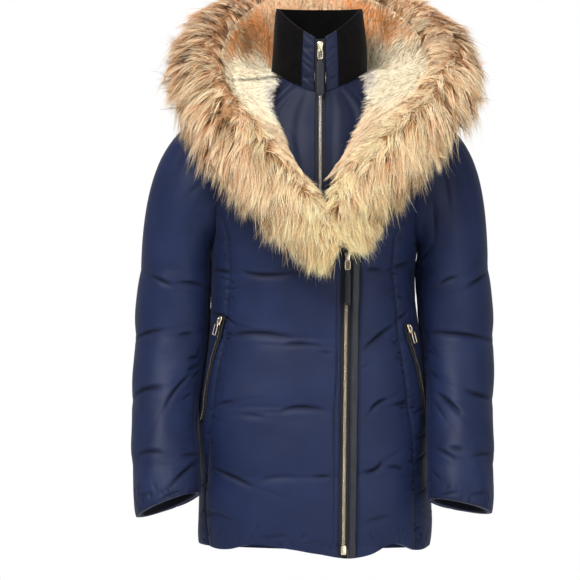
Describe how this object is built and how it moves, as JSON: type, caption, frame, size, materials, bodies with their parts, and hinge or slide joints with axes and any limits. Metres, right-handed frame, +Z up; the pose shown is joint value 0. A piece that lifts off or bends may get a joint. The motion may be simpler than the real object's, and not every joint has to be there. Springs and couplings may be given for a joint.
{
  "type": "fur trimmed parka",
  "caption": "Hollow down parka as worn, with a wide fur trim round a hood laid back, an off-centre zip, an inner zipped bib with a tall collar, and slanted zip pockets.",
  "frame": {"origin": "middle of the neck, level with the seam that joins the hood to the coat, where the wearer's shoulders carry the coat", "axes": "+Z up, +X to the wearer's left, -Y to the wearer's front"},
  "size_m": [0.5806, 0.4242, 0.9426],
  "materials": {
    "navy_nylon": "semi-matte woven nylon",
    "black_velvet": "short matte pile",
    "black_leather": "smooth grain, soft sheen",
    "zip_tape": "matte woven tape",
    "cuff_lining": "plain dark woven lining",
    "long_fur": "long soft tan fur with pale tips",
    "short_fur": "short dense cream to brown fur",
    "pale_gold": "polished pale gold plate"
  },
  "bodies": {
    "coat": {"back_centre": "navy_nylon", "back_side_left": "navy_nylon", "back_side_right": "navy_nylon", "bib_left": "navy_nylon", "bib_right": "navy_nylon", "bib_slider": "pale_gold", "bib_zip": "zip_tape", "collar_left": "black_velvet", "collar_placket_left": "navy_nylon", "collar_placket_right": "navy_nylon", "collar_right": "black_velvet", "cuff_facing_left": "cuff_lining", "cuff_facing_right": "cuff_lining", "front_left": "navy_nylon", "front_right": "navy_nylon", "front_side_left": "navy_nylon", "front_side_right": "navy_nylon", "front_slider": "pale_gold", "front_zip": "zip_tape", "front_zip_stop": "pale_gold", "fur_trim_left": "long_fur", "fur_trim_right": "long_fur", "hood_lining": "short_fur", "hood_shell": "navy_nylon", "pocket_left_slider": "pale_gold", "pocket_right_slider": "pale_gold", "pocket_zip_left": "zip_tape", "pocket_zip_right": "zip_tape", "sleeve_left_top": "navy_nylon", "sleeve_left_under": "navy_nylon", "sleeve_right_top": "navy_nylon", "sleeve_right_under": "navy_nylon", "zip_strip": "black_leather"},
    "bib_tab": {"bib_ring": "pale_gold", "bib_pull": "black_leather"},
    "front_tab": {"front_ring": "pale_gold", "front_pull": "black_leather"},
    "pocket_left_tab": {"pocket_left_ring": "pale_gold"},
    "pocket_right_tab": {"pocket_right_ring": "pale_gold"}
  },
  "joints": [
    {"name": "bib_pull_swing", "type": "hinge", "parent": "coat", "child": "bib_tab", "pos_m": [0.00678, -0.08443, 0.04894], "axis": [-1, 0, 0], "range_deg": [0, 150]},
    {"name": "front_pull_swing", "type": "hinge", "parent": "coat", "child": "front_tab", "pos_m": [0.05064, -0.129, -0.28891], "axis": [-1, 0, 0], "range_deg": [0, 100]},
    {"name": "pocket_left_pull_swing", "type": "hinge", "parent": "coat", "child": "pocket_left_tab", "pos_m": [0.15571, -0.07826, -0.40363], "axis": [-0.5468, -0.7971, -0.2562], "range_deg": [0, 150]},
    {"name": "pocket_right_pull_swing", "type": "hinge", "parent": "coat", "child": "pocket_right_tab", "pos_m": [-0.15969, -0.0752, -0.39113], "axis": [-0.5294, 0.7888, 0.3122], "range_deg": [0, 150]}
  ]
}
